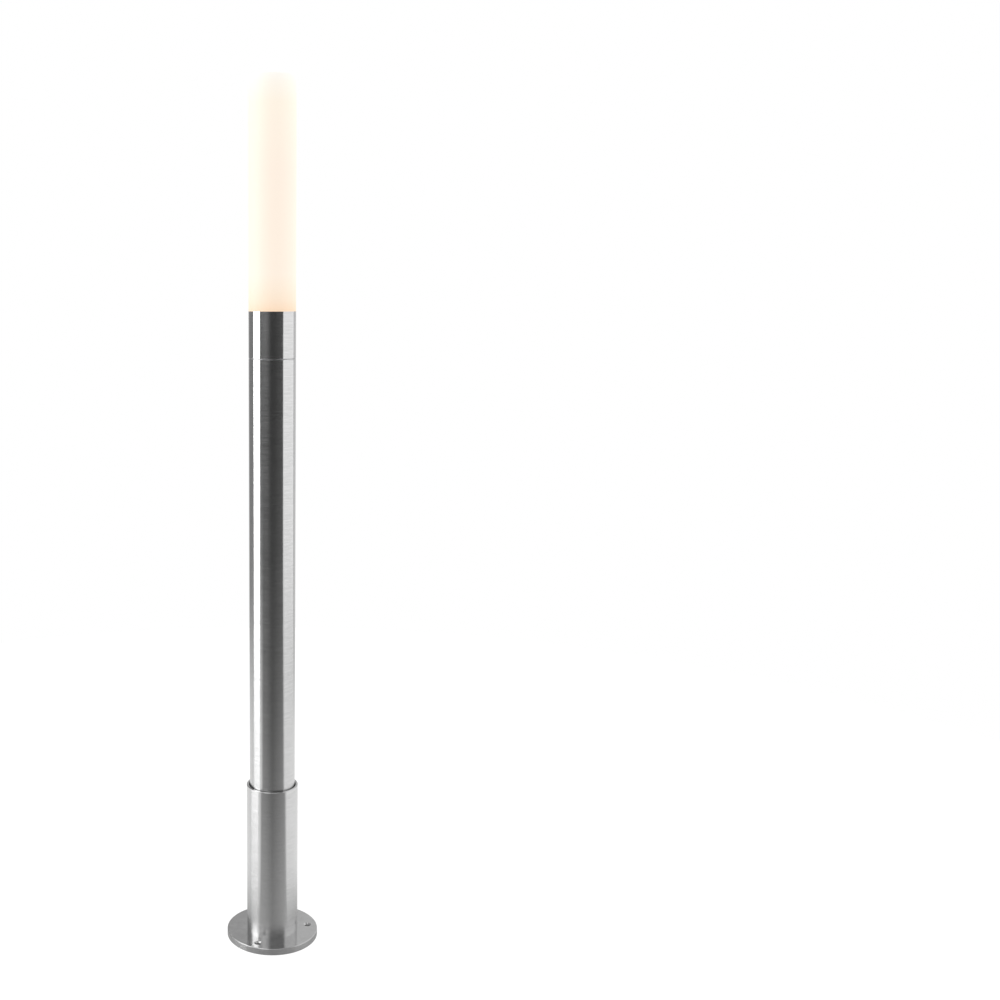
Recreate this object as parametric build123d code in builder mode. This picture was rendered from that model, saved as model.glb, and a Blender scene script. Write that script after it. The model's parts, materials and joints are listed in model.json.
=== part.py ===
"""Outdoor bollard light: a flanged base sleeve, a round pole and a lift-off head with an opal diffuser.

Millimetres, +Z up. The origin is the centre of the flange's underside. The front is -Y, and every
set screw faces the back, +Y.
"""

import math
import os

from build123d import *

# ---- base: a flange with a sleeve that the pole stands in ----
FLANGE_DIAMETER = 122.0
FLANGE_THICKNESS = 9.0
FLANGE_EDGE = 0.7
CABLE_LEDGE = 3.5
BOLT_OUTSET = 0.45
BOLT_COUNT = 3
BOLT_HOLE = 6.6
BOLT_SINK = 10.4
SINK_ANGLE = 90.0
FIRST_BOLT_ANGLE = -113.0
SLEEVE_GAP = 1.1
SLEEVE_WALL = 3.0
SLEEVE_HEIGHT = 205.5
SLEEVE_SEAT = 4.0
SLEEVE_RIM = 0.6

# ---- pole ----
POLE_OUTER = 60.0
POLE_WALL = 1.5
POLE_LENGTH = 775.0
TUBE_EDGE = 0.45

# ---- head: a collar, the diffuser that stands on it, and the coupling ring bonded into both ----
COLLAR_HEIGHT = 58.6
COLLAR_WALL = 3.0
DIFFUSER_HEIGHT = 285.0
DIFFUSER_WALL = 3.0
DIFFUSER_EDGE = 1.2
COUPLING_DEPTH = 28.0
COUPLING_RISE = 20.0
COUPLING_WALL = 2.8

# ---- clearances ----
SLIDE_GAP = 0.3
SEAT_GAP = 0.2
THREAD_GAP = 0.1

# ---- lamp carrier: the plug that joins pole and head and holds the lampholder ----
LIP_THICKNESS = 0.8
LIP_INSET = 0.4
PLUG_DEPTH = 30.0
SPIGOT_HEADROOM = 4.0
SPIGOT_GAP = 0.6
HOLDER_ROOM = 2.5
CARRIER_FLOOR = 4.0
WIRE_HOLE = 12.0
RING_SECTION = 1.8
RING_REACH = 0.3
LOWER_RING_RISE = 5.6
UPPER_RING_DROP = 5.0
GROOVE_ROOM = 1.4

# ---- screws ----
SET_SCREW = 4.0
SET_SCREW_LENGTH = 6.0
SLEEVE_SCREW = 5.0
SLEEVE_SCREW_LENGTH = 4.0
SLEEVE_SCREW_RISE = 60.0
SLEEVE_SCREW_DROP = 45.0
COLLAR_SCREW_LENGTH = 3.0
CARRIER_SCREW_DROP = 15.0
SMALL_SCREW = 3.0
SCREW_SPARE = 1.0

# ---- proportions of small parts ----
SOCKET_DEPTH = 0.55
SCREW_CHAMFER = 1 / 12
HEAD_RADIUS = 0.9
HEAD_HEIGHT = 0.6
HEAD_EDGE = 0.25
SOFT_EDGE = 0.6

# ---- guide rings in the sleeve ----
GUIDE_HEIGHT = 12.0
GUIDE_RIM_DROP = 5.0
GUIDE_FOOT_RISE = 16.0

# ---- wiring insert in the foot of the pole ----
PLATE_RISE = 35.0
PLATE_THICKNESS = 4.0
PLATE_SKIRT = 14.0
PLATE_WALL = 5.0
GLAND_OFFSET = -7.5
GLAND_THREAD = 16.0
GLAND_FLATS = 20.0
GLAND_HEX = 7.0
GLAND_NECK = 9.0
GLAND_CAP = 17.0
GLAND_CAP_DIAMETER = 22.0
GLAND_CAP_WALL = 4.0
GLAND_BORE = 12.4
GLAND_SPARE = 2.0
GLAND_FLUTES = 12
FLUTE_RADIUS = 0.8
SEAL_BORE = 9.0
SEAL_LIP = 0.8
SEAL_LENGTH = 14.0
LOCKNUT_HEIGHT = 5.0
BRACKET_SHEET = 1.5
BRACKET_WIDTH = 24.0
BRACKET_HEIGHT = 70.0
BRACKET_INSET = 4.7
BRACKET_FOOT = 11.0
BLOCK_POLES = 3
BLOCK_PITCH = 9.6
BLOCK_LENGTH = 22.0
BLOCK_DEPTH = 16.0
BLOCK_RISE = 40.0
BLOCK_EDGE = 1.0
WIRE_DEPTH = 9.0
CLAMP_SIDE = 5.6
CLAMP_BORE = 3.2
CLAMP_LENGTH = 18.0
CLAMP_SCREW = 3.0
CLAMP_SCREW_SPREAD = 10.0
CLAMP_SCREW_SINK = 2.0
SLOT_WIDTH = 0.6
SLOT_DEPTH = 0.8
EARTH_ANGLE = 225.0
EARTH_RISE = 92.0
EARTH_STUD = 4.0
EARTH_STUD_LENGTH = 11.0
STUD_BASE = 1.0
TAG_SHEET = 0.8
TAG_RADIUS = 4.5
CRIMP_SIDE = 4.0
TAG_NECK = 1.0
NUT_HEIGHT = 3.2
NUT_FLATS = 7.0

# ---- wiring ----
CORE_DIAMETER = 2.6
CABLE_DIAMETER = 7.4
CORE_SPREAD = 1.7
CORE_ENTRY = 4.0
CABLE_RISE = 42.0
CABLE_DROP = 14.0
CABLE_SET_BACK = 4.0
BEND_SHARE = 0.45
TAP_OFFSET = 16.0
TAP_RADIUS = 3.0
TAP_LENGTH = 5.4

# ---- lampholder and lamp, with an E27 screw cap ----
HOLDER_DIAMETER = 40.0
HOLDER_HEIGHT = 52.0
HOLDER_FLOOR = 17.4
HOLDER_EDGE = 1.2
SHELL_SHEET = 0.45
SHELL_BACKING = 0.55
RIB_START = 0.6
SHELL_RISE = 4.0
SHELL_LENGTH = 26.0
THREAD_PITCH = 3.629
THREAD_DEPTH = 0.8
CAP_CREST = 26.2
CAP_LENGTH = 21.0
CAP_RISE = 6.0
CONTACT_DIAMETER = 9.0
CONTACT_HEIGHT = 1.5
CONTACT_LEDGE = 1.0
INSULATOR_COLLAR = 2.0
TONGUE_WIDTH = 8.0
TONGUE_SHEET = 0.6
TONGUE_FOOT = 10.0
TONGUE_BEND = 6.0
TONGUE_HEAD = 4.0
TONGUE_TIP = 3.0
HOLDER_SCREW_SPREAD = 28.0
LAMP_SKIRT = 24.0
SKIRT_STEP = 2.0
SKIRT_TURN = 0.4
LAMP_DIAMETER = 38.0
LAMP_GLASS = 185.0
LAMP_GLASS_WALL = 1.2
LAMP_DOME = 12.0
COLUMN_SIDE = 13.0
COLUMN_HEIGHT = 160.0
CHIP_SIDE = 5.0
CHIP_THICKNESS = 0.8
CHIPS_PER_SIDE = 6

# ---- heights and radii that follow from the sizes above ----
flange_top = FLANGE_THICKNESS
seat_floor = FLANGE_THICKNESS - SLEEVE_SEAT
sleeve_top = flange_top + SLEEVE_HEIGHT
pole_radius = POLE_OUTER / 2
pole_bore = pole_radius - POLE_WALL
sleeve_bore = pole_radius + SLEEVE_GAP
sleeve_radius = sleeve_bore + SLEEVE_WALL
back_reach = 2 * sleeve_radius
cable_opening_radius = pole_bore - CABLE_LEDGE
bolt_circle_radius = (sleeve_radius + FLANGE_DIAMETER / 2) / 2 + BOLT_OUTSET
pole_top = seat_floor + POLE_LENGTH
collar_foot = pole_top + LIP_THICKNESS
collar_top = collar_foot + COLLAR_HEIGHT
collar_bore = pole_radius - COLLAR_WALL
diffuser_top = collar_top + DIFFUSER_HEIGHT
diffuser_bore = pole_radius - DIFFUSER_WALL
coupling_foot = collar_top - COUPLING_DEPTH
coupling_top = collar_top + COUPLING_RISE
coupling_bore = min(collar_bore, diffuser_bore) - COUPLING_WALL
plug_foot = pole_top - PLUG_DEPTH
plug_radius = pole_bore - SEAT_GAP
spigot_radius = collar_bore - SPIGOT_GAP
spigot_top = coupling_foot - SPIGOT_HEADROOM
carrier_bore = HOLDER_DIAMETER / 2 + HOLDER_ROOM
lower_ring_height = collar_foot + LOWER_RING_RISE
upper_ring_height = spigot_top - UPPER_RING_DROP
carrier_floor_top = plug_foot + CARRIER_FLOOR
carrier_screw_height = pole_top - CARRIER_SCREW_DROP
collar_screw_height = (lower_ring_height + upper_ring_height) / 2
plate_foot = seat_floor + PLATE_RISE
plate_top = plate_foot + PLATE_THICKNESS
plate_radius = pole_bore - SLIDE_GAP
plate_skirt_bore = plate_radius - PLATE_WALL
plate_screw_height = plate_top + (PLATE_SKIRT - PLATE_THICKNESS) / 2
bracket_back = plate_skirt_bore - BRACKET_INSET
foot_screw_y = bracket_back - (BRACKET_FOOT + BRACKET_SHEET) / 2
small_head_radius = SMALL_SCREW * HEAD_RADIUS
small_head_height = SMALL_SCREW * HEAD_HEIGHT
holder_foot = carrier_floor_top
shell_inner = CAP_CREST / 2 + SLIDE_GAP
holder_bore = shell_inner + SHELL_SHEET + SHELL_BACKING
socket_floor = holder_foot + HOLDER_FLOOR
lamp_foot = socket_floor + TONGUE_SHEET + CAP_RISE
cap_foot = lamp_foot + CAP_RISE
cap_top = cap_foot + CAP_LENGTH
skirt_top = cap_top + LAMP_SKIRT

os.makedirs("parts", exist_ok=True)


def save(made, name):
    """Labels a finished piece and writes it to its own STEP file."""
    made.part.label = name
    export_step(made.part, f"parts/{name}.step")


def facing_back(height, reach):
    """A plane across the back wall at a height, its normal along +Y."""
    return Plane(origin=(0, reach, height), x_dir=(1, 0, 0), z_dir=(0, 1, 0))


def tube(outer, inner, low, high):
    """A plain ring or tube about the Z axis between two heights."""
    with BuildPart() as made:
        with BuildSketch(Plane.XY.offset(low)):
            Circle(outer)
            Circle(inner, mode=Mode.SUBTRACT)
        extrude(amount=high - low)
    return made


def outer_rims(part, radius):
    """The circular edges of a turned part that have the given radius."""
    return part.edges().filter_by(lambda e: e.geom_type == GeomType.CIRCLE and abs(e.radius - radius) < 1e-4)


def back_hole(diameter, height):
    """Cuts a round hole through the back wall of the part being built."""
    with Locations(facing_back(height, back_reach)):
        Hole(diameter / 2, depth=back_reach)


def set_screws(diameter, length, reach, heights):
    """Socket set screws along +Y, one at each height, their outer ends at the given reach."""
    socket = diameter / 2
    with BuildPart() as made:
        for height in heights:
            with BuildSketch(facing_back(height, reach)):
                Circle(diameter / 2)
            extrude(amount=-length)
        chamfer(made.edges().filter_by(GeomType.CIRCLE), diameter * SCREW_CHAMFER)
        for height in heights:
            with BuildSketch(facing_back(height, reach)):
                RegularPolygon(socket / math.sqrt(3), 6)
            extrude(amount=-length * SOCKET_DEPTH, mode=Mode.SUBTRACT)
    return made


# ================= base =================
with BuildPart() as base_flange:
    with BuildSketch():
        Circle(FLANGE_DIAMETER / 2)
    extrude(amount=FLANGE_THICKNESS)
    chamfer(base_flange.edges(), FLANGE_EDGE)
    with BuildSketch():
        Circle(cable_opening_radius)
    extrude(amount=FLANGE_THICKNESS, mode=Mode.SUBTRACT)
    with BuildSketch(Plane.XY.offset(seat_floor)):
        Circle(sleeve_radius)
    extrude(amount=SLEEVE_SEAT, mode=Mode.SUBTRACT)
    with Locations(Plane.XY.offset(flange_top)):
        with PolarLocations(bolt_circle_radius, BOLT_COUNT, start_angle=FIRST_BOLT_ANGLE):
            CounterSinkHole(BOLT_HOLE / 2, BOLT_SINK / 2, counter_sink_angle=SINK_ANGLE)
save(base_flange, "base_flange")

screw_heights = (flange_top + SLEEVE_SCREW_RISE, sleeve_top - SLEEVE_SCREW_DROP)
with BuildPart() as base_sleeve:
    with BuildSketch(Plane.XY.offset(seat_floor)):
        Circle(sleeve_radius)
        Circle(sleeve_bore, mode=Mode.SUBTRACT)
    extrude(amount=sleeve_top - seat_floor)
    chamfer(base_sleeve.edges().group_by(Axis.Z)[-1], SLEEVE_RIM)
    for screw_height in screw_heights:
        back_hole(SLEEVE_SCREW + 2 * THREAD_GAP, screw_height)
save(base_sleeve, "base_sleeve")

screw_tip = pole_radius + SLIDE_GAP
save(
    set_screws(SLEEVE_SCREW, SLEEVE_SCREW_LENGTH, screw_tip + SLEEVE_SCREW_LENGTH, screw_heights),
    "sleeve_set_screws",
)

guide_bore = pole_radius + SLIDE_GAP
upper_guide_top = sleeve_top - GUIDE_RIM_DROP
lower_guide_foot = seat_floor + GUIDE_FOOT_RISE
save(tube(sleeve_bore, guide_bore, upper_guide_top - GUIDE_HEIGHT, upper_guide_top), "guide_ring_upper")
save(tube(sleeve_bore, guide_bore, lower_guide_foot, lower_guide_foot + GUIDE_HEIGHT), "guide_ring_lower")

# ================= pole =================
with BuildPart() as pole_tube:
    with BuildSketch(Plane.XY.offset(seat_floor)):
        Circle(pole_radius)
        Circle(pole_bore, mode=Mode.SUBTRACT)
    extrude(amount=POLE_LENGTH)
    chamfer(outer_rims(pole_tube, pole_radius), TUBE_EDGE)
    for screw_height in (plate_screw_height, carrier_screw_height):
        back_hole(SET_SCREW + 2 * THREAD_GAP, screw_height)
save(pole_tube, "pole_tube")

# ================= wiring insert in the foot of the pole =================
screw_reach = pole_radius - THREAD_GAP
with BuildPart() as wiring_plate:
    with BuildSketch(Plane.XY.offset(plate_foot)):
        Circle(plate_radius)
    extrude(amount=PLATE_SKIRT)
    with BuildSketch(Plane.XY.offset(plate_top)):
        Circle(plate_skirt_bore)
    extrude(amount=PLATE_SKIRT, mode=Mode.SUBTRACT)
    with Locations((0, GLAND_OFFSET, plate_top)):
        Hole(GLAND_THREAD / 2 + THREAD_GAP, depth=PLATE_THICKNESS)
    back_hole(SET_SCREW + 2 * THREAD_GAP, plate_screw_height)
    with Locations((0, foot_screw_y, plate_top)):
        Hole(SMALL_SCREW / 2 + THREAD_GAP, depth=PLATE_THICKNESS)
save(wiring_plate, "wiring_plate")
save(
    set_screws(SET_SCREW, SET_SCREW_LENGTH, screw_reach, [plate_screw_height]),
    "plate_set_screw",
)

gland_hex_foot = plate_foot - GLAND_HEX
gland_foot = gland_hex_foot - GLAND_NECK
gland_top = plate_top + LOCKNUT_HEIGHT + GLAND_SPARE
nut_foot = gland_hex_foot - GLAND_CAP
seal_foot = nut_foot + GLAND_CAP_WALL


def gland_plane(height):
    """A level plane at a height, centred on the gland."""
    return Plane(origin=(0, GLAND_OFFSET, height))


with BuildPart() as gland_body:
    with BuildSketch(gland_plane(gland_foot)):
        Circle(GLAND_THREAD / 2)
    extrude(amount=gland_top - gland_foot)
    with BuildSketch(gland_plane(gland_hex_foot)):
        RegularPolygon(GLAND_FLATS / math.sqrt(3), 6)
    extrude(amount=GLAND_HEX)
    with BuildSketch(gland_plane(gland_foot)):
        Circle(GLAND_BORE / 2)
    extrude(amount=gland_top - gland_foot, mode=Mode.SUBTRACT)
save(gland_body, "gland_body")

with BuildPart() as gland_seal:
    with BuildSketch(gland_plane(seal_foot)):
        Circle(GLAND_BORE / 2)
        Circle(SEAL_BORE / 2, mode=Mode.SUBTRACT)
    extrude(amount=SEAL_LENGTH)
save(gland_seal, "gland_seal")

with BuildPart() as gland_nut:
    with BuildSketch(gland_plane(nut_foot)):
        Circle(GLAND_CAP_DIAMETER / 2)
    extrude(amount=GLAND_CAP)
    fillet(gland_nut.edges().group_by(Axis.Z)[0], GLAND_CAP_WALL * SOFT_EDGE)
    with BuildSketch(gland_plane(seal_foot)):
        Circle(GLAND_THREAD / 2 + THREAD_GAP)
    extrude(amount=GLAND_CAP, mode=Mode.SUBTRACT)
    with BuildSketch(gland_plane(nut_foot)):
        Circle(SEAL_BORE / 2 + SEAL_LIP)
    extrude(amount=GLAND_CAP, mode=Mode.SUBTRACT)
    with BuildSketch(gland_plane(seal_foot)):
        with PolarLocations(GLAND_CAP_DIAMETER / 2, GLAND_FLUTES):
            Circle(FLUTE_RADIUS)
    extrude(amount=GLAND_CAP, mode=Mode.SUBTRACT)
save(gland_nut, "gland_nut")

with BuildPart() as gland_locknut:
    with BuildSketch(gland_plane(plate_top)):
        RegularPolygon(GLAND_FLATS / math.sqrt(3), 6)
        Circle(GLAND_THREAD / 2 + THREAD_GAP, mode=Mode.SUBTRACT)
    extrude(amount=LOCKNUT_HEIGHT)
save(gland_locknut, "gland_locknut")

# the bracket stands on the plate, with its upright at the back
block_foot = plate_top + BLOCK_RISE
block_middle = block_foot + BLOCK_LENGTH / 2
block_back = bracket_back - BRACKET_SHEET
block_front = block_back - BLOCK_DEPTH
pole_xs = [(i - (BLOCK_POLES - 1) / 2) * BLOCK_PITCH for i in range(BLOCK_POLES)]
fixing_xs = [(i - (BLOCK_POLES - 2) / 2) * BLOCK_PITCH for i in range(BLOCK_POLES - 1)]
with BuildPart() as terminal_bracket:
    with BuildSketch(Plane.XY.offset(plate_top)):
        with Locations((0, bracket_back - BRACKET_FOOT / 2)):
            Rectangle(BRACKET_WIDTH, BRACKET_FOOT)
    extrude(amount=BRACKET_SHEET)
    with BuildSketch(Plane.XY.offset(plate_top)):
        with Locations((0, bracket_back - BRACKET_SHEET / 2)):
            Rectangle(BRACKET_WIDTH, BRACKET_SHEET)
    extrude(amount=BRACKET_HEIGHT)
    with Locations((0, foot_screw_y, plate_top + BRACKET_SHEET)):
        Hole(SMALL_SCREW / 2 + THREAD_GAP, depth=BRACKET_SHEET)
    with BuildSketch(facing_back(block_middle, 0)):
        with Locations(*[(x, 0) for x in fixing_xs]):
            Circle(SMALL_SCREW / 2 + THREAD_GAP)
    extrude(amount=bracket_back, mode=Mode.SUBTRACT)
save(terminal_bracket, "terminal_bracket")

with BuildPart() as bracket_screw:
    with BuildSketch(Plane.XY.offset(plate_foot)):
        with Locations((0, foot_screw_y)):
            Circle(SMALL_SCREW / 2)
    extrude(amount=PLATE_THICKNESS + BRACKET_SHEET)
    with BuildSketch(Plane.XY.offset(plate_top + BRACKET_SHEET)):
        with Locations((0, foot_screw_y)):
            Circle(small_head_radius)
    extrude(amount=small_head_height)
    fillet(bracket_screw.edges().group_by(Axis.Z)[-1], SMALL_SCREW * HEAD_EDGE)
save(bracket_screw, "bracket_screw")

wire_y = block_front + WIRE_DEPTH
clamp_foot = block_middle - CLAMP_LENGTH / 2
clamp_screw_heights = (block_middle - CLAMP_SCREW_SPREAD / 2, block_middle + CLAMP_SCREW_SPREAD / 2)
screw_grid = [(x, z - block_middle) for x in pole_xs for z in clamp_screw_heights]
clamp_hole = CLAMP_SCREW + 4 * THREAD_GAP
with BuildPart() as terminal_block:
    with BuildSketch(Plane.XY.offset(block_foot)):
        with Locations((0, block_back - BLOCK_DEPTH / 2)):
            RectangleRounded(BLOCK_PITCH * BLOCK_POLES, BLOCK_DEPTH, BLOCK_EDGE)
    extrude(amount=BLOCK_LENGTH)
    with BuildSketch(Plane.XY.offset(block_foot)):
        with Locations(*[(x, wire_y) for x in pole_xs]):
            Rectangle(CLAMP_SIDE, CLAMP_SIDE)
    extrude(amount=BLOCK_LENGTH, mode=Mode.SUBTRACT)
    with BuildSketch(facing_back(block_middle, block_front)):
        with Locations(*screw_grid):
            Circle(clamp_hole / 2)
    extrude(amount=WIRE_DEPTH, mode=Mode.SUBTRACT)
    with BuildSketch(facing_back(block_middle, block_front)):
        with Locations(*[(x, 0) for x in fixing_xs]):
            Circle(SMALL_SCREW / 2 + THREAD_GAP)
    extrude(amount=BLOCK_DEPTH, mode=Mode.SUBTRACT)
save(terminal_block, "terminal_block")

with BuildPart() as terminal_clamps:
    with BuildSketch(Plane.XY.offset(clamp_foot)):
        with Locations(*[(x, wire_y) for x in pole_xs]):
            Rectangle(CLAMP_SIDE, CLAMP_SIDE)
            Circle(CLAMP_BORE / 2, mode=Mode.SUBTRACT)
    extrude(amount=CLAMP_LENGTH)
    with BuildSketch(facing_back(block_middle, block_front)):
        with Locations(*screw_grid):
            Circle(CLAMP_SCREW / 2)
    extrude(amount=WIRE_DEPTH, mode=Mode.SUBTRACT)
save(terminal_clamps, "terminal_clamps")

clamp_screw_start = block_front + CLAMP_SCREW_SINK
clamp_screw_length = wire_y - CLAMP_BORE / 2 - clamp_screw_start
with BuildPart() as terminal_screws:
    with BuildSketch(facing_back(block_middle, clamp_screw_start)):
        with Locations(*screw_grid):
            Circle(CLAMP_SCREW / 2)
    extrude(amount=clamp_screw_length)
    with BuildSketch(facing_back(block_middle, clamp_screw_start)):
        with Locations(*screw_grid):
            Rectangle(CLAMP_SCREW, SLOT_WIDTH)
    extrude(amount=SLOT_DEPTH, mode=Mode.SUBTRACT)
save(terminal_screws, "terminal_screws")

with BuildPart() as block_screws:
    with BuildSketch(facing_back(block_middle, block_front - small_head_height)):
        with Locations(*[(x, 0) for x in fixing_xs]):
            Circle(small_head_radius)
    extrude(amount=small_head_height)
    with BuildSketch(facing_back(block_middle, block_front)):
        with Locations(*[(x, 0) for x in fixing_xs]):
            Circle(SMALL_SCREW / 2)
    extrude(amount=BLOCK_DEPTH + BRACKET_SHEET + SCREW_SPARE)
save(block_screws, "block_screws")

# a weld stud on the inside of the pole carries the earth tag
earth_height = seat_floor + EARTH_RISE
earth_x = math.cos(math.radians(EARTH_ANGLE))
earth_y = math.sin(math.radians(EARTH_ANGLE))


def earth_plane(reach):
    """A plane across the earth stud, its normal pointing at the pole's axis."""
    return Plane(
        origin=(reach * earth_x, reach * earth_y, earth_height),
        x_dir=(0, 0, 1),
        z_dir=(-earth_x, -earth_y, 0),
    )


tag_reach = pole_bore - STUD_BASE
with BuildPart() as earth_stud:
    with BuildSketch(earth_plane(pole_radius)):
        Circle(EARTH_STUD)
    extrude(amount=pole_radius - tag_reach)
    with BuildSketch(earth_plane(tag_reach)):
        Circle(EARTH_STUD / 2)
    extrude(amount=EARTH_STUD_LENGTH)
    with BuildSketch(Plane.XY.offset(seat_floor)):
        Circle(POLE_OUTER)
        Circle(pole_bore, mode=Mode.SUBTRACT)
    extrude(amount=POLE_LENGTH, mode=Mode.SUBTRACT)
save(earth_stud, "earth_stud")

tag_drop = TAG_RADIUS + CRIMP_SIDE + TAG_NECK
with BuildPart() as earth_tag:
    with BuildSketch(earth_plane(tag_reach)):
        Circle(TAG_RADIUS)
        with Locations((-tag_drop / 2, 0)):
            Rectangle(tag_drop, CRIMP_SIDE)
        Circle(EARTH_STUD / 2 + THREAD_GAP, mode=Mode.SUBTRACT)
    extrude(amount=TAG_SHEET)
    with BuildSketch(earth_plane(tag_reach)):
        with Locations((-tag_drop, 0)):
            Rectangle(CRIMP_SIDE, CRIMP_SIDE)
    extrude(amount=CRIMP_SIDE)
save(earth_tag, "earth_tag")

with BuildPart() as earth_nut:
    with BuildSketch(earth_plane(tag_reach - TAG_SHEET)):
        RegularPolygon(NUT_FLATS / math.sqrt(3), 6)
        Circle(EARTH_STUD / 2 + THREAD_GAP, mode=Mode.SUBTRACT)
    extrude(amount=NUT_HEIGHT)
save(earth_nut, "earth_nut")


# ================= wiring =================
def bend_radii(points):
    """The largest tangent arc at each corner that its two runs leave room for."""
    radii = []
    for before, corner, after in zip(points, points[1:], points[2:]):
        arriving = Vector(*corner) - Vector(*before)
        leaving = Vector(*after) - Vector(*corner)
        turn = math.radians(arriving.get_angle(leaving))
        shorter = min(arriving.length, leaving.length)
        radii.append(BEND_SHARE * shorter / math.tan(turn / 2))
    return radii


def wire(points, diameter, name):
    """A round wire of straight runs joined by tangent arcs."""
    radii = bend_radii(points)
    with BuildPart() as made:
        with BuildLine() as route:
            FilletPolyline(*points, radius=radii)
        path = route.wires()[0]
        with BuildSketch(Plane(origin=path @ 0, z_dir=path % 0)):
            Circle(diameter / 2)
        sweep(path=path)
    ratio = made.part.volume / (math.pi * diameter**2 / 4 * path.length)
    print(f"{name}: {path.length:.1f} mm, tightest bend {min(radii):.1f}, volume ratio {ratio:.4f}")
    save(made, name)


core_start = clamp_foot + CLAMP_LENGTH - CORE_ENTRY
cable_foot = block_foot + BLOCK_LENGTH + CABLE_RISE
cable_head = plug_foot - CABLE_DROP
cable_route = [
    (0, CABLE_SET_BACK, cable_foot),
    (0, CABLE_SET_BACK, cable_foot + 0.08 * (cable_head - cable_foot)),
    (6, 9, cable_foot + 0.20 * (cable_head - cable_foot)),
    (13, 10, cable_foot + 0.35 * (cable_head - cable_foot)),
    (18, 4, cable_foot + 0.50 * (cable_head - cable_foot)),
    (18, -4, cable_foot + 0.65 * (cable_head - cable_foot)),
    (12, -7, cable_foot + 0.79 * (cable_head - cable_foot)),
    (5, -4, cable_foot + 0.88 * (cable_head - cable_foot)),
    (0, 0, cable_foot + 0.94 * (cable_head - cable_foot)),
    (0, 0, cable_head),
]
wire(cable_route, CABLE_DIAMETER, "inner_cable")

core_places = {"live": 210.0, "earth": 90.0, "neutral": 330.0}
core_terminals = {"live": pole_xs[0], "earth": pole_xs[1], "neutral": pole_xs[2]}


def in_sheath(angle, centre_x, centre_y, height):
    """Where one core leaves the cable's sheath."""
    return (
        centre_x + CORE_SPREAD * math.cos(math.radians(angle)),
        centre_y + CORE_SPREAD * math.sin(math.radians(angle)),
        height,
    )


for core, angle in core_places.items():
    end = in_sheath(angle, 0, CABLE_SET_BACK, cable_foot)
    begin_x = core_terminals[core]
    wire(
        [
            (begin_x, wire_y, core_start),
            (begin_x * 1.02, wire_y + 0.1, core_start + 14),
            (begin_x * 0.75 + end[0] * 0.25, wire_y * 0.8 + end[1] * 0.2, core_start + 28),
            (end[0], end[1], cable_foot - 10),
            end,
        ],
        CORE_DIAMETER,
        f"{core}_core_lower",
    )

for core in ("live", "neutral"):
    begin = in_sheath(core_places[core], 0, 0, cable_head)
    wire(
        [
            begin,
            (begin[0], begin[1], cable_head + 5),
            (begin[0] * 1.8, begin[1] * 0.8, plug_foot - 4),
            (begin[0] * 1.8, begin[1] * 0.8, carrier_floor_top),
        ],
        CORE_DIAMETER,
        f"{core}_core_upper",
    )

earth_begin = in_sheath(core_places["earth"], 0, 0, cable_head)
wire(
    [
        earth_begin,
        (0, earth_begin[1], cable_head + 4.5),
        (0, earth_begin[1] + 3.6, cable_head + 10.0),
        (0, TAP_OFFSET - TAP_RADIUS, cable_head + 10.0),
    ],
    CORE_DIAMETER,
    "earth_core_upper",
)

tag_end = earth_plane(tag_reach - CRIMP_SIDE / 2).origin - Vector(0, 0, tag_drop + CRIMP_SIDE / 2)
tap_x = core_terminals["earth"]
wire(
    [
        (tap_x, wire_y, clamp_foot + CORE_ENTRY),
        (tap_x - 0.2, wire_y, block_foot - 4.0),
        (tap_x - 3.0, wire_y - 6.0, block_foot - 11.0),
        (tap_x - 8.5, wire_y - 17.0, block_foot - 13.0),
        (tag_end.X, tag_end.Y, tag_end.Z - 9.0),
        (tag_end.X, tag_end.Y, tag_end.Z),
    ],
    CORE_DIAMETER,
    "earth_wire",
)

# ================= lamp carrier =================
groove_radius = spigot_radius + RING_REACH - RING_SECTION
ring_heights = (lower_ring_height, upper_ring_height)
groove_height = RING_SECTION * GROOVE_ROOM
holder_screw_xs = (-HOLDER_SCREW_SPREAD / 2, HOLDER_SCREW_SPREAD / 2)
with BuildPart() as lamp_carrier:
    with BuildSketch(Plane.XY.offset(plug_foot)):
        Circle(plug_radius)
    extrude(amount=PLUG_DEPTH)
    with BuildSketch(Plane.XY.offset(pole_top)):
        Circle(pole_radius - LIP_INSET)
    extrude(amount=LIP_THICKNESS)
    with BuildSketch(Plane.XY.offset(collar_foot)):
        Circle(spigot_radius)
    extrude(amount=spigot_top - collar_foot)
    chamfer(outer_rims(lamp_carrier, spigot_radius).sort_by(Axis.Z)[-1], SPIGOT_GAP)
    with BuildSketch(Plane.XY.offset(carrier_floor_top)):
        Circle(carrier_bore)
    extrude(amount=spigot_top - carrier_floor_top, mode=Mode.SUBTRACT)
    with BuildSketch(Plane.XY.offset(plug_foot)):
        Circle(WIRE_HOLE / 2)
        with Locations(*[(x, 0) for x in holder_screw_xs]):
            Circle(SMALL_SCREW / 2 + THREAD_GAP)
        with Locations((0, TAP_OFFSET)):
            Circle(SMALL_SCREW / 2 + THREAD_GAP)
    extrude(amount=CARRIER_FLOOR, mode=Mode.SUBTRACT)
    for ring_height in ring_heights:
        with BuildSketch(Plane.XY.offset(ring_height - groove_height / 2)):
            Circle(spigot_radius + RING_SECTION)
            Circle(groove_radius, mode=Mode.SUBTRACT)
        extrude(amount=groove_height, mode=Mode.SUBTRACT)
    back_hole(SET_SCREW + 2 * THREAD_GAP, carrier_screw_height)
save(lamp_carrier, "lamp_carrier")

with BuildPart() as carrier_o_rings:
    for ring_height in ring_heights:
        with Locations((0, 0, ring_height)):
            Torus(groove_radius + RING_SECTION / 2, RING_SECTION / 2)
save(carrier_o_rings, "carrier_o_rings")

save(
    set_screws(SET_SCREW, SET_SCREW_LENGTH, screw_reach, [carrier_screw_height]),
    "carrier_set_screw",
)

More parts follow.
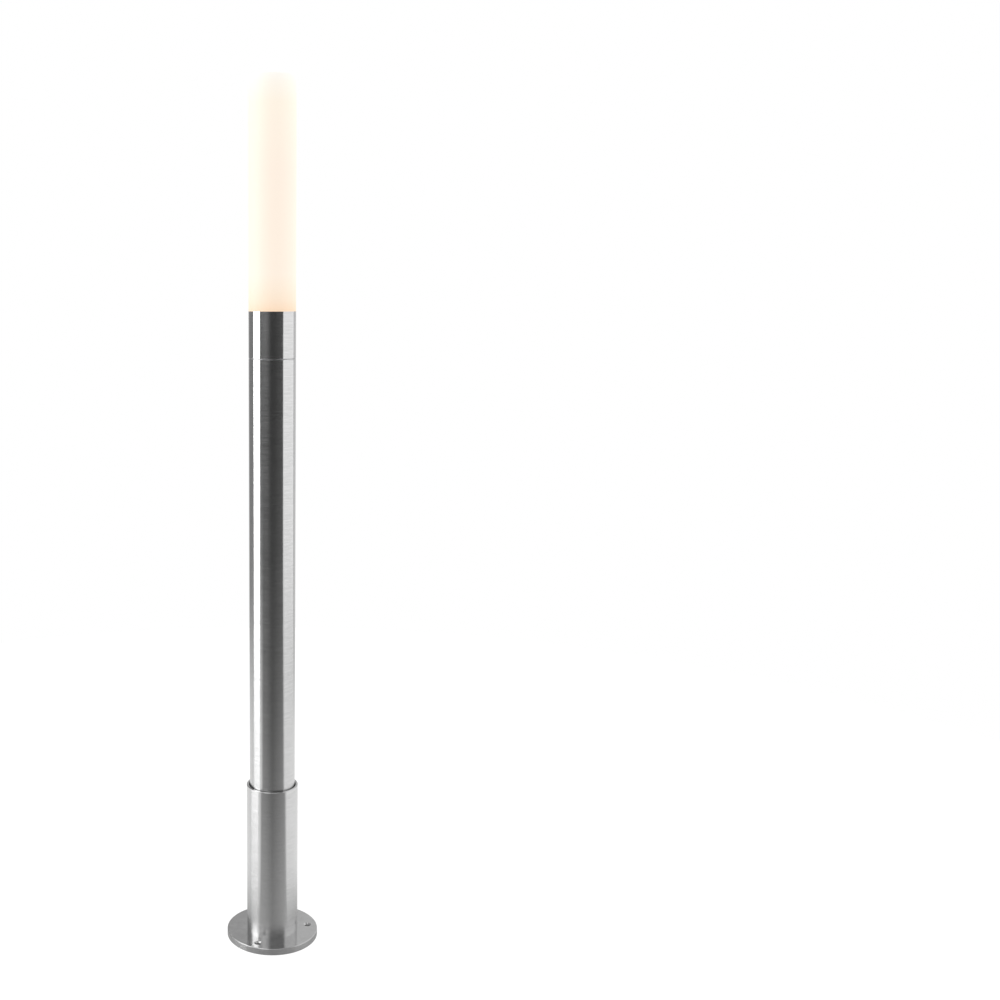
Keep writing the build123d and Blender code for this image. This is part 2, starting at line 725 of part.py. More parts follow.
with BuildPart() as carrier_earth_screw:
    with BuildSketch(Plane.XY.offset(plug_foot)):
        with Locations((0, TAP_OFFSET)):
            Circle(SMALL_SCREW / 2)
    extrude(amount=CARRIER_FLOOR)
    with BuildSketch(Plane.XY.offset(plug_foot)):
        with Locations((0, TAP_OFFSET)):
            Circle(TAP_RADIUS)
    extrude(amount=-TAP_LENGTH)
save(carrier_earth_screw, "carrier_earth_screw")

# ================= lampholder =================
with BuildPart() as holder_body:
    with BuildSketch(Plane.XY.offset(holder_foot)):
        Circle(HOLDER_DIAMETER / 2)
    extrude(amount=HOLDER_HEIGHT)
    fillet(holder_body.edges().group_by(Axis.Z)[-1], HOLDER_EDGE)
    with BuildSketch(Plane.XY.offset(socket_floor)):
        Circle(holder_bore)
    extrude(amount=HOLDER_HEIGHT, mode=Mode.SUBTRACT)
    with BuildSketch(Plane.XY.offset(holder_foot)):
        with Locations(*[(x, 0) for x in holder_screw_xs]):
            Circle(SMALL_SCREW / 2 + THREAD_GAP)
    extrude(amount=HOLDER_FLOOR / 2, mode=Mode.SUBTRACT)
save(holder_body, "holder_body")

with BuildPart() as holder_screws:
    with BuildSketch(Plane.XY.offset(plug_foot)):
        with Locations(*[(x, 0) for x in holder_screw_xs]):
            Circle(SMALL_SCREW / 2)
    extrude(amount=CARRIER_FLOOR + HOLDER_FLOOR / 2)
    with BuildSketch(Plane.XY.offset(plug_foot)):
        with Locations(*[(x, 0) for x in holder_screw_xs]):
            Circle(small_head_radius)
    extrude(amount=-small_head_height)
save(holder_screws, "holder_screws")


def ribbed_sleeve(crest, root, sheet, low, high):
    """A thin sleeve rolled into rounded thread ribs, drawn as rings: radii of its outer face."""
    ribs = round((high - low) / THREAD_PITCH)
    rise = (high - low) / ribs
    outside = [(root, low)]
    for rib in range(ribs):
        outside.append((crest, low + rise * (rib + 0.5)))
        outside.append((root, low + rise * (rib + 1)))
    inside = [(radius - sheet, height) for radius, height in reversed(outside)]
    with BuildPart() as made:
        with BuildSketch(Plane.XZ):
            with BuildLine():
                Spline(*outside)
                Line(outside[-1], inside[0])
                Spline(*inside)
                Line(inside[-1], outside[0])
            make_face()
        revolve(axis=Axis.Z)
    return made


shell_foot = socket_floor + SHELL_RISE
with BuildPart() as holder_shell:
    with BuildSketch(Plane.XY.offset(shell_foot)):
        Circle(holder_bore)
        Circle(shell_inner + SHELL_SHEET, mode=Mode.SUBTRACT)
    extrude(amount=SHELL_LENGTH)
    rib_count = int(SHELL_LENGTH / THREAD_PITCH)
    for rib in range(rib_count):
        with Locations((0, 0, shell_foot + THREAD_PITCH * (rib + RIB_START))):
            Torus(shell_inner + SHELL_SHEET, SHELL_SHEET)
save(holder_shell, "holder_shell")

tongue_top = lamp_foot - SEAT_GAP
with BuildPart() as holder_contact:
    with BuildSketch(Plane.XZ):
        with BuildLine():
            Polyline(
                (-TONGUE_FOOT, socket_floor),
                (TONGUE_BEND, socket_floor),
                (TONGUE_HEAD, tongue_top),
                (-TONGUE_TIP, tongue_top),
                (-TONGUE_TIP, tongue_top - TONGUE_SHEET),
                (TONGUE_HEAD - TONGUE_SHEET, tongue_top - TONGUE_SHEET),
                (TONGUE_BEND - TONGUE_SHEET, socket_floor + TONGUE_SHEET),
                (-TONGUE_FOOT, socket_floor + TONGUE_SHEET),
                close=True,
            )
        make_face()
    extrude(amount=TONGUE_WIDTH / 2, both=True)
save(holder_contact, "holder_contact")

# ================= lamp =================
cap_radius = CAP_CREST / 2
insulator_foot = lamp_foot + CONTACT_HEIGHT
with BuildPart() as lamp_contact:
    with BuildSketch(Plane.XY.offset(lamp_foot)):
        Circle(CONTACT_DIAMETER / 2)
    extrude(amount=CONTACT_HEIGHT)
    fillet(lamp_contact.edges().group_by(Axis.Z)[0], CONTACT_HEIGHT * SOFT_EDGE)
save(lamp_contact, "lamp_contact")

cap_root = cap_radius - THREAD_DEPTH
core_radius = cap_root - SHELL_SHEET - THREAD_GAP
core_foot = cap_foot + INSULATOR_COLLAR
with BuildPart() as lamp_insulator:
    with BuildSketch(Plane.XZ):
        with BuildLine():
            Polyline(
                (0, insulator_foot),
                (CONTACT_DIAMETER / 2 + CONTACT_LEDGE, insulator_foot),
                (core_radius, cap_foot),
                (core_radius, core_foot),
                (0, core_foot),
                close=True,
            )
        make_face()
    revolve(axis=Axis.Z)
save(lamp_insulator, "lamp_insulator")

save(ribbed_sleeve(cap_radius, cap_root, SHELL_SHEET, cap_foot, cap_top), "lamp_cap")

lamp_radius = LAMP_DIAMETER / 2
with BuildPart() as lamp_skirt:
    with BuildSketch(Plane.XZ):
        with BuildLine():
            Polyline(
                (0, skirt_top),
                (0, core_foot),
                (core_radius, core_foot),
                (core_radius, cap_top),
                (cap_radius, cap_top),
            )
            Spline(
                (cap_radius, cap_top),
                (cap_radius + SKIRT_STEP, cap_top + LAMP_SKIRT * SKIRT_TURN),
                (lamp_radius, skirt_top),
                tangents=[(0, 1), (0.2, 1)],
            )
            Line((lamp_radius, skirt_top), (0, skirt_top))
        make_face()
    revolve(axis=Axis.Z)
save(lamp_skirt, "lamp_skirt")

with BuildPart() as lamp_envelope:
    with BuildSketch(Plane.XY.offset(skirt_top)):
        Circle(lamp_radius)
    extrude(amount=LAMP_GLASS)
    fillet(lamp_envelope.edges().group_by(Axis.Z)[-1], LAMP_DOME)
    offset(amount=-LAMP_GLASS_WALL, openings=lamp_envelope.faces().sort_by(Axis.Z)[0])
save(lamp_envelope, "lamp_envelope")

chip_rise = COLUMN_HEIGHT / CHIPS_PER_SIDE
with BuildPart() as led_column:
    with BuildSketch(Plane.XY.offset(skirt_top)):
        Rectangle(COLUMN_SIDE, COLUMN_SIDE)
    extrude(amount=COLUMN_HEIGHT)
save(led_column, "led_column")

with BuildPart() as led_chips:
    for side in (Plane.XZ, -Plane.XZ, Plane.YZ, -Plane.YZ):
        for row in range(CHIPS_PER_SIDE):
            face = Plane(
                origin=side.z_dir * (COLUMN_SIDE / 2) + Vector(0, 0, skirt_top + chip_rise * (row + 0.5)),
                x_dir=(0, 0, 1),
                z_dir=side.z_dir,
            )
            with BuildSketch(face):
                Rectangle(CHIP_SIDE, CHIP_SIDE)
            extrude(amount=CHIP_THICKNESS)
save(led_chips, "led_chips")

# ================= head =================
with BuildPart() as collar_ring:
    with BuildSketch(Plane.XY.offset(collar_foot)):
        Circle(pole_radius)
        Circle(collar_bore, mode=Mode.SUBTRACT)
    extrude(amount=COLLAR_HEIGHT)
    chamfer(outer_rims(collar_ring, pole_radius).sort_by(Axis.Z)[0], TUBE_EDGE)
    back_hole(SET_SCREW + 2 * THREAD_GAP, collar_screw_height)
save(collar_ring, "collar_ring")

save(
    set_screws(SET_SCREW, COLLAR_SCREW_LENGTH, collar_bore + COLLAR_SCREW_LENGTH, [collar_screw_height]),
    "collar_set_screw",
)

with BuildPart() as diffuser:
    with BuildSketch(Plane.XY.offset(collar_top)):
        Circle(pole_radius)
    extrude(amount=DIFFUSER_HEIGHT)
    fillet(diffuser.edges().group_by(Axis.Z)[-1], DIFFUSER_EDGE)
    with BuildSketch(Plane.XY.offset(collar_top)):
        Circle(diffuser_bore)
    extrude(amount=DIFFUSER_HEIGHT - DIFFUSER_WALL, mode=Mode.SUBTRACT)
save(diffuser, "diffuser")

coupling_ring_height = coupling_foot + COUPLING_DEPTH / 2
coupling_groove = collar_bore - RING_SECTION
with BuildPart() as coupling_ring:
    with BuildSketch(Plane.XY.offset(coupling_foot)):
        Circle(collar_bore)
    extrude(amount=COUPLING_DEPTH)
    with BuildSketch(Plane.XY.offset(collar_top)):
        Circle(diffuser_bore)
    extrude(amount=COUPLING_RISE)
    with BuildSketch(Plane.XY.offset(coupling_foot)):
        Circle(coupling_bore)
    extrude(amount=coupling_top - coupling_foot, mode=Mode.SUBTRACT)
    with BuildSketch(Plane.XY.offset(coupling_ring_height - groove_height / 2)):
        Circle(collar_bore)
        Circle(coupling_groove, mode=Mode.SUBTRACT)
    extrude(amount=groove_height, mode=Mode.SUBTRACT)
save(coupling_ring, "coupling_ring")

with BuildPart() as coupling_o_ring:
    with Locations((0, 0, coupling_ring_height)):
        Torus(collar_bore - RING_SECTION / 2, RING_SECTION / 2)
save(coupling_o_ring, "coupling_o_ring")

print(f"total height {diffuser_top:.1f} mm, lamp top {skirt_top + LAMP_GLASS:.1f} mm")
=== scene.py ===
import json
import math

import bmesh
import bpy
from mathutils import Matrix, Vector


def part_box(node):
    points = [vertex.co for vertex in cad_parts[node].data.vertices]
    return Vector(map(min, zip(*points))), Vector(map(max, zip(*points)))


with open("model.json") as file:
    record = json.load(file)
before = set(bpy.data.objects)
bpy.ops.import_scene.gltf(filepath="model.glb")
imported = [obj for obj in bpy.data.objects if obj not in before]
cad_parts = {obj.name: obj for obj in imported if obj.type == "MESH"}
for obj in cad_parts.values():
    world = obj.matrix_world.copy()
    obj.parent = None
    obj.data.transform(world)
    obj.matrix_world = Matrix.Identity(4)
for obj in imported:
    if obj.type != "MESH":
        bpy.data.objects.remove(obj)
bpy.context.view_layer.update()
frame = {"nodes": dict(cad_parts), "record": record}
nodes = frame["nodes"]
mm = 0.001
print("frame loaded:", len(nodes), "nodes")


# an sRGB hex colour as the linear one that a socket takes
def linear(hexColour):
    channels = []
    for start in (1, 3, 5):
        value = int(hexColour[start:start + 2], 16) / 255
        channels.append(value / 12.92 if value <= 0.04045 else ((value + 0.055) / 1.055) ** 2.4)
    return (*channels, 1.0)


# a node with its properties, the values of its sockets, and what feeds them
def add(tree, kind, values=None, links=None, **settings):
    node = tree.nodes.new(kind)
    for name, value in settings.items():
        setattr(node, name, value)
    for socket, value in (values or {}).items():
        node.inputs[socket].default_value = value
    for socket, source in (links or {}).items():
        tree.links.new(source, node.inputs[socket])
    return node


def newMaterial(name, **values):
    material = bpy.data.materials.new(name)
    material.use_nodes = True
    tree = material.node_tree
    tree.nodes.clear()
    values = {key.replace("_", " "): value for key, value in values.items()}
    shader = add(tree, "ShaderNodeBsdfPrincipled", values)
    add(tree, "ShaderNodeOutputMaterial", links={"Surface": shader.outputs[0]})
    return material, tree, shader


# a 3D noise whose cells have these sizes in millimetres along x, y and z
def grain(tree, x, y, z, detail=2.0, rough=0.5):
    place = add(tree, "ShaderNodeTexCoord").outputs["Object"]
    scale = (1 / (x * mm), 1 / (y * mm), 1 / (z * mm))
    cells = add(tree, "ShaderNodeMapping", {"Scale": scale}, {"Vector": place})
    values = {"Scale": 1.0, "Detail": detail, "Roughness": rough}
    return add(tree, "ShaderNodeTexNoise", values, {"Vector": cells.outputs[0]}).outputs["Fac"]


# a noise mostly lies between 0.3 and 0.7, and this brings it to low..high
def spread(tree, source, low, high, start=0.3, end=0.7):
    values = {"From Min": start, "From Max": end, "To Min": low, "To Max": high}
    return add(tree, "ShaderNodeMapRange", values, {"Value": source}).outputs[0]


def twoTone(tree, source, first, second):
    colours = {6: linear(first), 7: linear(second)}
    return add(tree, "ShaderNodeMix", colours, {0: source}, data_type="RGBA").outputs[2]


# a colour ramp with (position, hex colour) marks
def ramp(tree, source, marks):
    node = add(tree, "ShaderNodeValToRGB", links={0: source})
    made = node.color_ramp.elements
    for position, colour in marks[1:-1]:
        made.new(position)
    for mark, (position, colour) in zip(made, marks):
        mark.position = position
        mark.color = linear(colour)
    return node.outputs[0]


# bump of a real depth in millimetres
def relief(tree, shader, height, depth):
    bump = add(tree, "ShaderNodeBump", {"Distance": depth * mm}, {"Height": height})
    tree.links.new(bump.outputs[0], shader.inputs["Normal"])


# stainless steel tube ground with a belt: the scratches run round the tube, so reflections
# stay narrow sideways and are drawn out along its length into bright and dark bands
brushedTube = {
    "dark": "#cdcdcd",
    "light": "#dadada",
    "roughness": (0.19, 0.23),
    "stretch": 1.0,
    "turned": 0.25,         # a quarter turn from the scratches
    "scratchWidth": 1.2,    # real ones are near 0.1 mm, too fine for a view of the whole light
    "scratchLength": 16.0,
    "scratchDepth": 0.0025,
    "patch": 40.0,          # slow change in how well the belt cut
    "patchShare": 0.4,
}


def brushedStainlessTube():
    look = brushedTube
    material, tree, shader = newMaterial("brushedStainlessTube", Metallic=1.0, Anisotropic=look["stretch"],
                                         Anisotropic_Rotation=look["turned"])
    around = add(tree, "ShaderNodeTangent", direction_type="RADIAL", axis="Z").outputs[0]
    tree.links.new(around, shader.inputs["Tangent"])
    scratch = grain(tree, look["scratchLength"], look["scratchLength"], look["scratchWidth"],
                    detail=3.0, rough=0.6)
    patch = grain(tree, look["patch"], look["patch"], look["patch"])
    tree.links.new(twoTone(tree, spread(tree, scratch, 0, 1), look["dark"], look["light"]),
                   shader.inputs["Base Color"])
    mixed = add(tree, "ShaderNodeMix", {0: look["patchShare"]}, {2: scratch, 3: patch}).outputs[0]
    tree.links.new(spread(tree, mixed, *look["roughness"]), shader.inputs["Roughness"])
    relief(tree, shader, scratch, look["scratchDepth"])
    return material


# stainless steel plate, ground flat with a belt along X before the disc was cut from it: it mirrors
# the sleeve sharply sideways and draws it out to the rim, so the sleeve's bright band runs on across it
groundPlate = {
    "dark": "#c6c6c6",
    "light": "#d8d8d8",
    "toneSpan": (0.35, 0.65),
    "roughness": (0.21, 0.27),
    "stretch": 0.92,
    "turned": 0.25,         # a quarter turn from the scratches
    "scratchWidth": 0.9,    # real ones are near 0.1 mm, drawn coarser to show
    "scratchLength": 12.0,
    "scratchDepth": 0.002,
    "patch": 14.0,
    "patchShare": 0.5,
}


def groundStainlessPlate():
    look = groundPlate
    material, tree, shader = newMaterial("groundStainlessPlate", Metallic=1.0, Anisotropic=look["stretch"],
                                         Anisotropic_Rotation=look["turned"])
    alongX = add(tree, "ShaderNodeCombineXYZ", {"X": 1.0}).outputs[0]
    tree.links.new(alongX, shader.inputs["Tangent"])
    scratch = grain(tree, look["scratchLength"], look["scratchWidth"], look["scratchWidth"],
                    detail=3.0, rough=0.6)
    patch = grain(tree, look["patch"], look["patch"], look["patch"], detail=4.0, rough=0.6)
    mixed = add(tree, "ShaderNodeMix", {0: look["patchShare"]}, {2: scratch, 3: patch}).outputs[0]
    tree.links.new(twoTone(tree, spread(tree, mixed, 0, 1, *look["toneSpan"]), look["dark"], look["light"]),
                   shader.inputs["Base Color"])
    tree.links.new(spread(tree, mixed, *look["roughness"]), shader.inputs["Roughness"])
    relief(tree, shader, scratch, look["scratchDepth"])
    return material


# opal acrylic tube, extruded and satin, with a lamp inside: an even warm glow painted in as the lamplight
# through it, with painted shade deepest just above the joint, palest at the closed top, and a broad sheen
# that whitens its outline
opalTubePaintedGlow = {
    "unlit": "#8f8b84",
    "strength": 0.89,
    "glow": [(0.0, "#f9d9b8"), (0.02, "#fcdfc2"), (0.05, "#fde6ce"), (0.10, "#feecd8"), (0.16, "#fff0e0"),
             (0.60, "#fff0e1"), (0.88, "#fff4e4"), (0.965, "#fff9ef"), (1.0, "#fffdf8")],
    "roughness": (0.60, 0.68),
    "ripple": 14.0,         # faint drawing marks of the extrusion, longer than they are wide
    "rippleLength": 42.0,
    "rippleDepth": 0.015,
}


def opalAcrylicPaintedGlow():
    look = opalTubePaintedGlow
    foot, top = (corner.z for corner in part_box("diffuser"))
    material, tree, shader = newMaterial("opalAcrylicPaintedGlow", Base_Color=linear(look["unlit"]), IOR=1.49,
                                         Emission_Strength=look["strength"])
    place = add(tree, "ShaderNodeTexCoord").outputs["Object"]
    height = add(tree, "ShaderNodeSeparateXYZ", links={0: place}).outputs["Z"]
    rise = spread(tree, height, 0, 1, foot, top)
    # painted lamplight: the emission colour rises from painted shade at the foot to the palest glow at the
    # top
    tree.links.new(ramp(tree, rise, look["glow"]), shader.inputs["Emission Color"])
    haze = grain(tree, look["ripple"], look["ripple"], look["rippleLength"], detail=3.0)
    tree.links.new(spread(tree, haze, *look["roughness"]), shader.inputs["Roughness"])
    relief(tree, shader, haze, look["rippleDepth"])
    return material


# what moulding, extrusion or glazing leaves: a fine texture and a slow drift of tone
moulded = {"driftScale": 14, "smoother": 0.06, "rougher": 0.08}


def mouldedFinish(name, dark, light, roughness, texture=1.2, depth=0.01, ior=1.5):
    material, tree, shader = newMaterial(name, IOR=ior)
    fine = grain(tree, texture, texture, texture, detail=3.0, rough=0.6)
    wide = texture * moulded["driftScale"]
    drift = grain(tree, wide, wide, wide)
    tree.links.new(twoTone(tree, spread(tree, drift, 0, 1), dark, light), shader.inputs["Base Color"])
    satin = spread(tree, fine, roughness - moulded["smoother"], roughness + moulded["rougher"])
    tree.links.new(satin, shader.inputs["Roughness"])
    relief(tree, shader, fine, depth)
    return material


# what turning, drawing, plating or casting leaves on metal: fine marks round Z and a drift of tone
worked = {"drift": 9, "smoother": 0.07, "rougher": 0.09}


def metalFinish(name, dark, light, roughness, mark=0.5, depth=0.006, length=6.0):
    material, tree, shader = newMaterial(name, Metallic=1.0)
    marks = grain(tree, length, length, mark, rough=0.55)
    drift = grain(tree, worked["drift"], worked["drift"], worked["drift"], detail=3.0)
    tree.links.new(twoTone(tree, spread(tree, drift, 0, 1), dark, light), shader.inputs["Base Color"])
    shine = spread(tree, marks, roughness - worked["smoother"], roughness + worked["rougher"])
    tree.links.new(shine, shader.inputs["Roughness"])
    relief(tree, shader, marks, depth)
    return material


# borosilicate tube etched inside: milky, lets the chips show as soft warm spots
etchedTube = {
    "glass": "#fbf6ec",
    "glow": "#ffe9c9",
    "strength": 0.5,
    "clear": 0.5,
    "etch": 0.8,
    "etchDepth": 0.01,
    "roughness": (0.38, 0.52),
}


def etchedLampGlass():
    look = etchedTube
    material, tree, shader = newMaterial("etchedLampGlass", IOR=1.47, Base_Color=linear(look["glass"]),
                                         Transmission_Weight=look["clear"],
                                         Emission_Color=linear(look["glow"]),
                                         Emission_Strength=look["strength"])
    etch = grain(tree, look["etch"], look["etch"], look["etch"], detail=3.0, rough=0.6)
    tree.links.new(spread(tree, etch, *look["roughness"]), shader.inputs["Roughness"])
    relief(tree, shader, etch, look["etchDepth"])
    return material


# earth insulation, co-extruded PVC: green and yellow in long slanted bands
earthStripe = {
    "green": "#2f7a2c",
    "yellow": "#d9c21f",
    "band": 7.0,
    "bandEdge": (0.46, 0.54),
    "texture": 0.7,
    "textureDepth": 0.006,
    "roughness": (0.34, 0.46),
}


def stripedEarthInsulation():
    look = earthStripe
    material, tree, shader = newMaterial("stripedEarthInsulation", IOR=1.53)
    place = add(tree, "ShaderNodeTexCoord").outputs["Object"]
    values = {"Scale": math.pi / 10 / (look["band"] * mm), "Distortion": 0.3, "Detail": 1.0}
    wave = add(tree, "ShaderNodeTexWave", values, {"Vector": place}, bands_direction="DIAGONAL")
    band = spread(tree, wave.outputs["Fac"], 0, 1, *look["bandEdge"])
    tree.links.new(twoTone(tree, band, look["green"], look["yellow"]), shader.inputs["Base Color"])
    fine = grain(tree, look["texture"], look["texture"], look["texture"])
    tree.links.new(spread(tree, fine, *look["roughness"]), shader.inputs["Roughness"])
    relief(tree, shader, fine, look["textureDepth"])
    return material


slotFinish = {
    "stainless_steel": brushedStainlessTube(),
    "opal_acrylic": opalAcrylicPaintedGlow(),
    "screw_steel": metalFinish("blackenedScrewSteel", "#6f6e6c", "#85837f", 0.36, 0.35),
    "zinc_steel": metalFinish("zincPlatedSteel", "#c3c6c9", "#d3d2c8", 0.34, 0.8),
    "black_rubber": mouldedFinish("mouldedNitrileRubber", "#161616", "#1d1d1c", 0.62, 0.8, 0.012, 1.52),
    "guide_plastic": mouldedFinish("mouldedAcetal", "#1b1b1c", "#242425", 0.42, 1.0, ior=1.48),
    "gland_plastic": mouldedFinish("mouldedGreyNylon", "#77797b", "#828486", 0.46, 1.0, ior=1.53),
    "terminal_plastic": mouldedFinish("mouldedNaturalNylon", "#dcd9cd", "#e6e4da", 0.40, 0.9, ior=1.53),
    "brass": metalFinish("drawnBrass", "#c9a24e", "#dab764", 0.30, 0.5),
    "tinned_copper": metalFinish("tinnedCopper", "#bdbbb4", "#cfccc3", 0.36, 0.6),
    "cable_sheath": mouldedFinish("extrudedBlackSheath", "#1f1f20", "#29292a", 0.50, 1.1, ior=1.53),
    "live_insulation": mouldedFinish("extrudedBrownInsulation", "#5a3216", "#67391a", 0.40, 0.7, ior=1.53),
    "neutral_insulation": mouldedFinish("extrudedBlueInsulation", "#1c4f96", "#245ba6", 0.40, 0.7, ior=1.53),
    "earth_insulation": stripedEarthInsulation(),
    "cast_aluminium": metalFinish("dieCastAluminium", "#b4b5b7", "#c6c7c8", 0.42, 1.6, 0.012, 1.9),
    "porcelain": mouldedFinish("glazedPorcelain", "#ebe8df", "#f2f0e8", 0.16, 5.0, 0.02, 1.54),
    "nickel_brass": metalFinish("nickelPlatedBrass", "#c9c5bb", "#d8d5cc", 0.22, 0.5),
    "black_glass": mouldedFinish("pressedBlackGlass", "#0c0c0f", "#131318", 0.14, 2.5, 0.02, 1.6),
    "lamp_housing": mouldedFinish("mouldedWhiteHousing", "#e3e2df", "#ebeae7", 0.38, 1.0, ior=1.53),
    "frosted_glass": etchedLampGlass(),
    "circuit_board": mouldedFinish("whiteLacqueredBoard", "#e9eae4", "#f1f1ec", 0.30, 0.9, ior=1.55),
    "led_phosphor": mouldedFinish("phosphorSilicone", "#f0c23c", "#f7cf55", 0.28, 0.6, ior=1.41),
}
for entry in frame["record"]["subparts"]:
    nodes[entry["node"]].data.materials[0] = slotFinish[entry["material_slot"]]
nodes["base_flange"].data.materials[0] = groundStainlessPlate()
print("finishes:", len(slotFinish) + 1)


# studio surround: a bright strip at the left, a broad panel at the right, soft light overhead and
# behind, and darkness in front. turn is the azimuth round Z from the front, left negative, and rise
# is the elevation, both in degrees
surround = {
    "panels": [
        {"turn": (-104, -64), "edge": 3, "rise": (-10, 14), "fade": 8, "light": 6.0},
        {"turn": (-102, -68), "edge": 6, "rise": (14, 56), "fade": 16, "light": 2.8},
        {"turn": (-62, -20), "edge": 26, "rise": (12, 75), "fade": 16, "light": 1.0},
        {"turn": (36, 60), "edge": 44, "rise": (-30, 30), "fade": 20, "light": 0.08},
        {"turn": (-60, 60), "edge": 20, "rise": (38, 91), "fade": 24, "light": 0.65},
        {"turn": (55, 127), "edge": 3, "rise": (-30, 16), "fade": 12, "light": 1.36},
        {"turn": (58, 127), "edge": 6, "rise": (16, 56), "fade": 16, "light": 1.1},
        {"turn": (127, 201), "edge": 10, "rise": (-30, 80), "fade": 20, "light": 0.8},
        {"turn": (-150, -104), "edge": 10, "rise": (-30, 80), "fade": 20, "light": 0.28},
        {"turn": (-201, -150), "edge": 10, "rise": (-30, 80), "fade": 20, "light": 0.5},
    ],
    "room": 0.05,
    "seen": "#ffffff",
}


# 1 between the two ends of a range and 0 outside it, with soft ends
def window(tree, source, ends, soft):
    rising = spread(tree, source, 0, 1, ends[0] - soft / 2, ends[0] + soft / 2)
    falling = spread(tree, source, 1, 0, ends[1] - soft / 2, ends[1] + soft / 2)
    return add(tree, "ShaderNodeMath", links={0: rising, 1: falling}, operation="MULTIPLY").outputs[0]


# degrees round Z from the front, left negative
def azimuth(tree, axes):
    towards = add(tree, "ShaderNodeMath", {1: -1.0}, {0: axes["Y"]}, operation="MULTIPLY").outputs[0]
    turn = add(tree, "ShaderNodeMath", links={0: axes["X"], 1: towards}, operation="ARCTAN2").outputs[0]
    return add(tree, "ShaderNodeMath", {1: 180 / math.pi}, {0: turn}, operation="MULTIPLY").outputs[0]


def makeSurround():
    world = bpy.data.worlds.new("studioSurround")
    bpy.context.scene.world = world
    world.use_nodes = True
    tree = world.node_tree
    tree.nodes.clear()
    axes = add(tree, "ShaderNodeSeparateXYZ",
               links={0: add(tree, "ShaderNodeTexCoord").outputs["Generated"]}).outputs
    turn = azimuth(tree, axes)
    rise = add(tree, "ShaderNodeMath", links={0: axes["Z"]}, operation="ARCSINE").outputs[0]
    rise = add(tree, "ShaderNodeMath", {1: 180 / math.pi}, {0: rise}, operation="MULTIPLY").outputs[0]
    total = None
    for panel in surround["panels"]:
        across = window(tree, turn, panel["turn"], panel["edge"])
        upwards = window(tree, rise, panel["rise"], panel["fade"])
        area = add(tree, "ShaderNodeMath", links={0: across, 1: upwards}, operation="MULTIPLY").outputs[0]
        lit = add(tree, "ShaderNodeMath", {1: panel["light"], 2: surround["room"]}, {0: area},
                  operation="MULTIPLY_ADD")
        if total:
            tree.links.new(total, lit.inputs[2])
        total = lit.outputs[0]
    lighting = add(tree, "ShaderNodeBackground", links={"Strength": total})
    seen = add(tree, "ShaderNodeBackground", {"Color": linear(surround["seen"])})
    cameraRay = add(tree, "ShaderNodeLightPath").outputs["Is Camera Ray"]
    mixed = add(tree, "ShaderNodeMixShader", links={0: cameraRay, 1: lighting.outputs[0], 2: seen.outputs[0]})
    add(tree, "ShaderNodeOutputWorld", links={"Surface": mixed.outputs[0]})


# the floor: white paper from wherever it is seen. What the steel mirrors of it is light and shade painted
# into its
# glow: dim in front of the light and bright beside and behind it, with painted shade close to the foot and
# far out
paper = {
    "radius": 1.6,
    "sides": 96,
    "tone": "#6c6c6b",
    "roughness": 0.9,
    # each glow ramp is painted light and shade that only reflections see, by distance from the foot
    "middle": {"turn": (-22, 24), "edge": 44,
               "glow": [(0.0, "#848484"), (0.25, "#6c6c6c"), (0.42, "#2c2c2c"), (0.65, "#101010"),
                        (1.0, "#0c0c0c")]},
    "front": {"turn": (-52, 62), "edge": 8,
              "glow": [(0.0, "#a2a2a2"), (0.25, "#949494"), (0.42, "#6e6e6e"), (0.65, "#545454"),
                       (1.0, "#363636")]},
    "beside": [(0.0, "#969696"), (0.05, "#a0a0a0"), (0.14, "#f0f0f0"), (0.5, "#ececec"), (0.8, "#c4c4c4"),
               (1.0, "#b4b4b4")],
    "seen": 0.97,
}


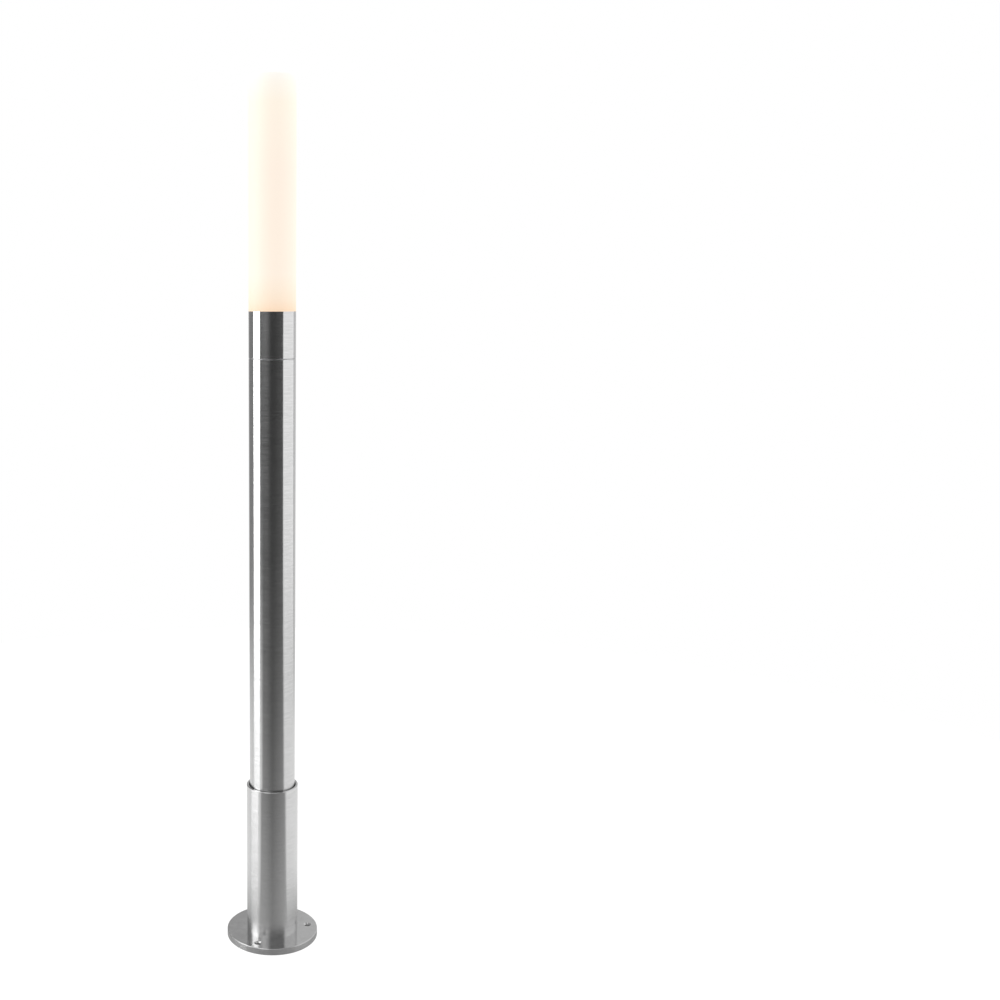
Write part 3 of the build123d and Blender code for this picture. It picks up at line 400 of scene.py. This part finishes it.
def makeFloor():
    made = bmesh.new()
    bmesh.ops.create_circle(made, cap_ends=True, radius=paper["radius"], segments=paper["sides"])
    mesh = bpy.data.meshes.new("floor")
    made.to_mesh(mesh)
    made.free()
    floor = bpy.data.objects.new("floor", mesh)
    bpy.context.scene.collection.objects.link(floor)
    material, tree, shader = newMaterial("palePaperPaintedShade", Roughness=paper["roughness"],
                                         Base_Color=linear(paper["tone"]), Emission_Strength=1.0)
    place = add(tree, "ShaderNodeTexCoord").outputs["Object"]
    axes = add(tree, "ShaderNodeSeparateXYZ", links={0: place}).outputs
    length = add(tree, "ShaderNodeVectorMath", links={0: place}, operation="LENGTH").outputs["Value"]
    reach = spread(tree, length, 0, 1, 0, paper["radius"])
    turn = azimuth(tree, axes)
    # painted light and shade for reflections: bright beside the light, dim in front, darker close to the foot
    # and far out
    paintedFloorLightAndShade = ramp(tree, reach, paper["beside"])
    for part in (paper["front"], paper["middle"]):
        inside = window(tree, turn, part["turn"], part["edge"])
        glow = ramp(tree, reach, part["glow"])
        paintedFloorLightAndShade = add(tree, "ShaderNodeMix", links={0: inside, 6: paintedFloorLightAndShade, 7: glow},
                     data_type="RGBA").outputs[2]
    cameraRay = add(tree, "ShaderNodeLightPath").outputs["Is Camera Ray"]
    seen = (paper["seen"], paper["seen"], paper["seen"], 1.0)
    glow = add(tree, "ShaderNodeMix", {7: seen}, {0: cameraRay, 6: paintedFloorLightAndShade}, data_type="RGBA").outputs[2]
    tree.links.new(glow, shader.inputs["Emission Color"])
    mesh.materials.append(material)


viewpoint = {
    "distance": 1.6050,     # metres, from the light's axis
    "height": 0.8593,
    "pitchDown": 0.161,     # radians
    "lens": 45.38,
    "shift": 0.2277,        # puts the light at the left of the frame
    "farthest": 50,
}


def makeCamera():
    data = bpy.data.cameras.new("camera")
    data.lens = viewpoint["lens"]
    data.shift_x = viewpoint["shift"]
    data.clip_end = viewpoint["farthest"]
    placed = bpy.data.objects.new("camera", data)
    placed.location = (0, -viewpoint["distance"], viewpoint["height"])
    placed.rotation_euler = (math.pi / 2 - viewpoint["pitchDown"], 0, 0)
    bpy.context.scene.collection.objects.link(placed)
    bpy.context.scene.camera = placed


makeSurround()
makeFloor()
makeCamera()
bpy.context.scene.view_settings.view_transform = "Standard"
print("studio ready")
